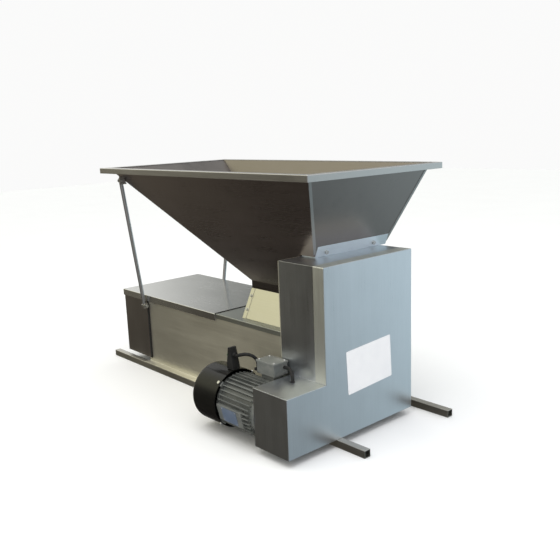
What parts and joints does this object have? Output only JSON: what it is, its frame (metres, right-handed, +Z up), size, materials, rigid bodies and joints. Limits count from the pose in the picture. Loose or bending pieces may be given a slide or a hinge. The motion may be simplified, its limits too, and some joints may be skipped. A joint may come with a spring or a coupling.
{
  "type": "grape crusher destemmer",
  "caption": "Grape crusher destemmer: sloped hopper over crushing rollers, trough with beater shaft and perforated grate, motor with belt and chain drive in a cover, on carrying rails.",
  "frame": {"origin": "middle of the bounding box at the ground, under the rails", "axes": "+X along the rails towards the drive end, +Y from the motor side to the far side, +Z up"},
  "size_m": [1.18, 0.6035, 0.6695],
  "materials": {
    "rail_steel": "drawn stainless tube",
    "trough_steel": "cold rolled stainless sheet",
    "hood_steel": "cold rolled stainless sheet",
    "lid_steel": "smooth stainless sheet, half mirror",
    "grate_steel": "perforated stainless sheet",
    "turned_steel": "turned steel",
    "food_rubber": "food-grade rubber, cream",
    "bush_plastic": "moulded nylon",
    "cast_iron": "machined casting",
    "chain_steel": "oiled roller chain",
    "belt_rubber": "fabric-backed belt rubber",
    "box_steel": "cold rolled stainless sheet",
    "fastener_zinc": "zinc plated",
    "cover_steel": "brushed stainless sheet",
    "hopper_steel": "cold rolled stainless sheet",
    "rim_steel": "folded stainless sheet",
    "saddle_steel": "bent stainless sheet",
    "rod_steel": "drawn stainless rod",
    "motor_paint": "grey enamel on cast aluminium",
    "cowl_black": "semi-gloss black enamel",
    "black_plastic": "moulded black plastic",
    "plate_blue": "blank anodised plate",
    "key_green": "moulded plastic",
    "key_red": "moulded plastic",
    "lead_rubber": "black rubber sheath"
  },
  "bodies": {
    "machine": {"rail_near": "rail_steel", "rail_far": "rail_steel", "trough_side_near": "trough_steel", "trough_side_far": "trough_steel", "outlet_end_plate": "trough_steel", "drive_end_plate": "trough_steel", "stalk_hood": "hood_steel", "top_deck": "trough_steel", "destemming_grate": "grate_steel", "outlet_bearing": "bush_plastic", "drive_bearing": "cast_iron", "roller_bushes": "bush_plastic", "roller_box_sides": "box_steel", "roller_box_end": "box_steel", "box_screws": "fastener_zinc", "drive_chain": "chain_steel", "v_belt": "belt_rubber", "drive_cover": "cover_steel", "cover_screws": "fastener_zinc", "motor_plate": "trough_steel", "hopper_wall_near": "hopper_steel", "hopper_wall_far": "hopper_steel", "hopper_wall_outlet": "hopper_steel", "hopper_wall_drive": "hopper_steel", "hopper_rim": "rim_steel", "hopper_collar": "hopper_steel", "hopper_saddle": "saddle_steel", "saddle_bolts": "fastener_zinc", "support_rod_near": "rod_steel", "support_rod_far": "rod_steel", "rod_brackets": "rod_steel", "rod_bolts": "fastener_zinc", "motor_housing": "motor_paint", "stator_core": "turned_steel", "front_shield": "motor_paint", "rear_shield": "motor_paint", "motor_bearings": "turned_steel", "fan_cowl": "cowl_black", "cowl_screws": "fastener_zinc", "flange_bolts": "fastener_zinc", "terminal_box": "motor_paint", "rating_plate": "plate_blue", "switch_box": "black_plastic", "cable_glands": "black_plastic", "flexible_leads": "lead_rubber"},
    "beater": {"beater_shaft": "turned_steel", "beater_paddles": "food_rubber", "beater_pulley": "cast_iron", "beater_sprocket": "cast_iron"},
    "rotor": {"motor_rotor": "turned_steel", "cooling_fan": "black_plastic", "motor_pulley": "cast_iron"},
    "first_roller": {"roller_a": "food_rubber", "roller_gear_a": "cast_iron", "roller_sprocket": "cast_iron"},
    "second_roller": {"roller_b": "food_rubber", "roller_gear_b": "cast_iron"},
    "lid": {"trough_lid": "lid_steel"},
    "start_key": {"start_button": "key_green"},
    "stop_key": {"stop_button": "key_red"}
  },
  "joints": [
    {"name": "beater_spin", "type": "hinge", "parent": "machine", "child": "beater", "pos_m": [0, 0.05175, 0.136], "axis": [1, 0, 0], "continuous": true},
    {"name": "motor_spin", "type": "hinge", "parent": "machine", "child": "rotor", "pos_m": [0, -0.22375, 0.09], "axis": [1, 0, 0], "continuous": true},
    {"name": "first_roller_spin", "type": "hinge", "parent": "machine", "child": "first_roller", "pos_m": [0, 0.00975, 0.284], "axis": [1, 0, 0], "continuous": true},
    {"name": "second_roller_spin", "type": "hinge", "parent": "machine", "child": "second_roller", "pos_m": [0, 0.09375, 0.284], "axis": [1, 0, 0], "continuous": true},
    {"name": "lid_slide", "type": "slide", "parent": "machine", "child": "lid", "axis": [-1, 0, 0], "range_m": [0, 0.45]},
    {"name": "start_press", "type": "slide", "parent": "machine", "child": "start_key", "axis": [0.9874, 0, -0.1585], "range_m": [0, 0.003], "stiffness_N_per_m": 300, "springref_m": -0.002},
    {"name": "stop_press", "type": "slide", "parent": "machine", "child": "stop_key", "axis": [0.9874, 0, -0.1585], "range_m": [0, 0.003], "stiffness_N_per_m": 300, "springref_m": -0.002}
  ],
  "couplings": [
    {"joint": "motor_spin", "follows": "beater_spin", "ratio": 3},
    {"joint": "first_roller_spin", "follows": "beater_spin", "ratio": 0.43333},
    {"joint": "second_roller_spin", "follows": "beater_spin", "ratio": -0.43333}
  ]
}
